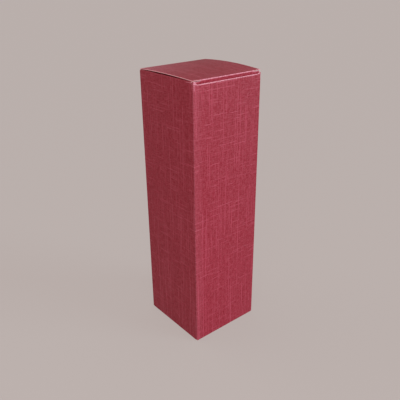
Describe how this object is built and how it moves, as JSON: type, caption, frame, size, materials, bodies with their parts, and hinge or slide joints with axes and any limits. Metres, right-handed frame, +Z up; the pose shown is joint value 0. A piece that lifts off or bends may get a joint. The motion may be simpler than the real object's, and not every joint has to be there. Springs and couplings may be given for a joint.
{
  "type": "bottle gift box",
  "caption": "Tall square folding carton for a bottle, with a hinged tuck-in lid, dust flaps and a glued crash-lock base.",
  "frame": {"origin": "centre of the base's underside, on the floor", "axes": "+Z up; the front wall, behind which the tuck flap goes, faces -Y; the lid hinges at +Y"},
  "size_m": [0.1, 0.1, 0.3402],
  "materials": {
    "embossed_board": "matte",
    "creased_board": "matte",
    "glue": "satin"
  },
  "bodies": {
    "carton": {"back_left_fold": "creased_board", "back_wall": "embossed_board", "base_back_flap": "embossed_board", "base_back_fold": "creased_board", "base_back_glue_tab": "embossed_board", "base_back_tab_glue": "glue", "base_front_flap": "embossed_board", "base_front_fold": "creased_board", "base_front_glue_tab": "embossed_board", "base_front_tab_glue": "glue", "base_left_flap": "embossed_board", "base_left_fold": "creased_board", "base_right_flap": "embossed_board", "base_right_fold": "creased_board", "front_left_fold": "creased_board", "front_right_fold": "creased_board", "front_wall": "embossed_board", "glue_flap": "embossed_board", "left_dust_fold": "creased_board", "left_wall": "embossed_board", "lid_fold": "creased_board", "right_dust_fold": "creased_board", "right_wall": "embossed_board", "seam_fold": "creased_board", "seam_glue": "glue"},
    "lid": {"lid_panel": "embossed_board", "tuck_fold": "creased_board"},
    "tuck": {"tuck_flap": "embossed_board"},
    "left_dust": {"left_dust_flap": "embossed_board"},
    "right_dust": {"right_dust_flap": "embossed_board"}
  },
  "joints": [
    {"name": "lid_hinge", "type": "hinge", "parent": "carton", "child": "lid", "pos_m": [0, 0.05, 0.338], "axis": [-1, 0, 0], "range_deg": [0, 260], "deforming": ["lid_fold"]},
    {"name": "tuck_crease", "type": "hinge", "parent": "lid", "child": "tuck", "pos_m": [0, -0.0492, 0.338], "axis": [-1, 0, 0], "range_deg": [0, 78], "deforming": ["tuck_fold"]},
    {"name": "left_dust_crease", "type": "hinge", "parent": "carton", "child": "left_dust", "pos_m": [-0.05, 0, 0.337], "axis": [0, -1, 0], "range_deg": [0, 130], "deforming": ["left_dust_fold"]},
    {"name": "right_dust_crease", "type": "hinge", "parent": "carton", "child": "right_dust", "pos_m": [0.05, 0, 0.337], "axis": [0, 1, 0], "range_deg": [0, 130], "deforming": ["right_dust_fold"]}
  ],
  "couplings": [
    {"joint": "tuck_crease", "follows": "lid_hinge", "ratio": 0.3},
    {"joint": "left_dust_crease", "follows": "lid_hinge", "ratio": 0.5},
    {"joint": "right_dust_crease", "follows": "lid_hinge", "ratio": 0.5}
  ]
}
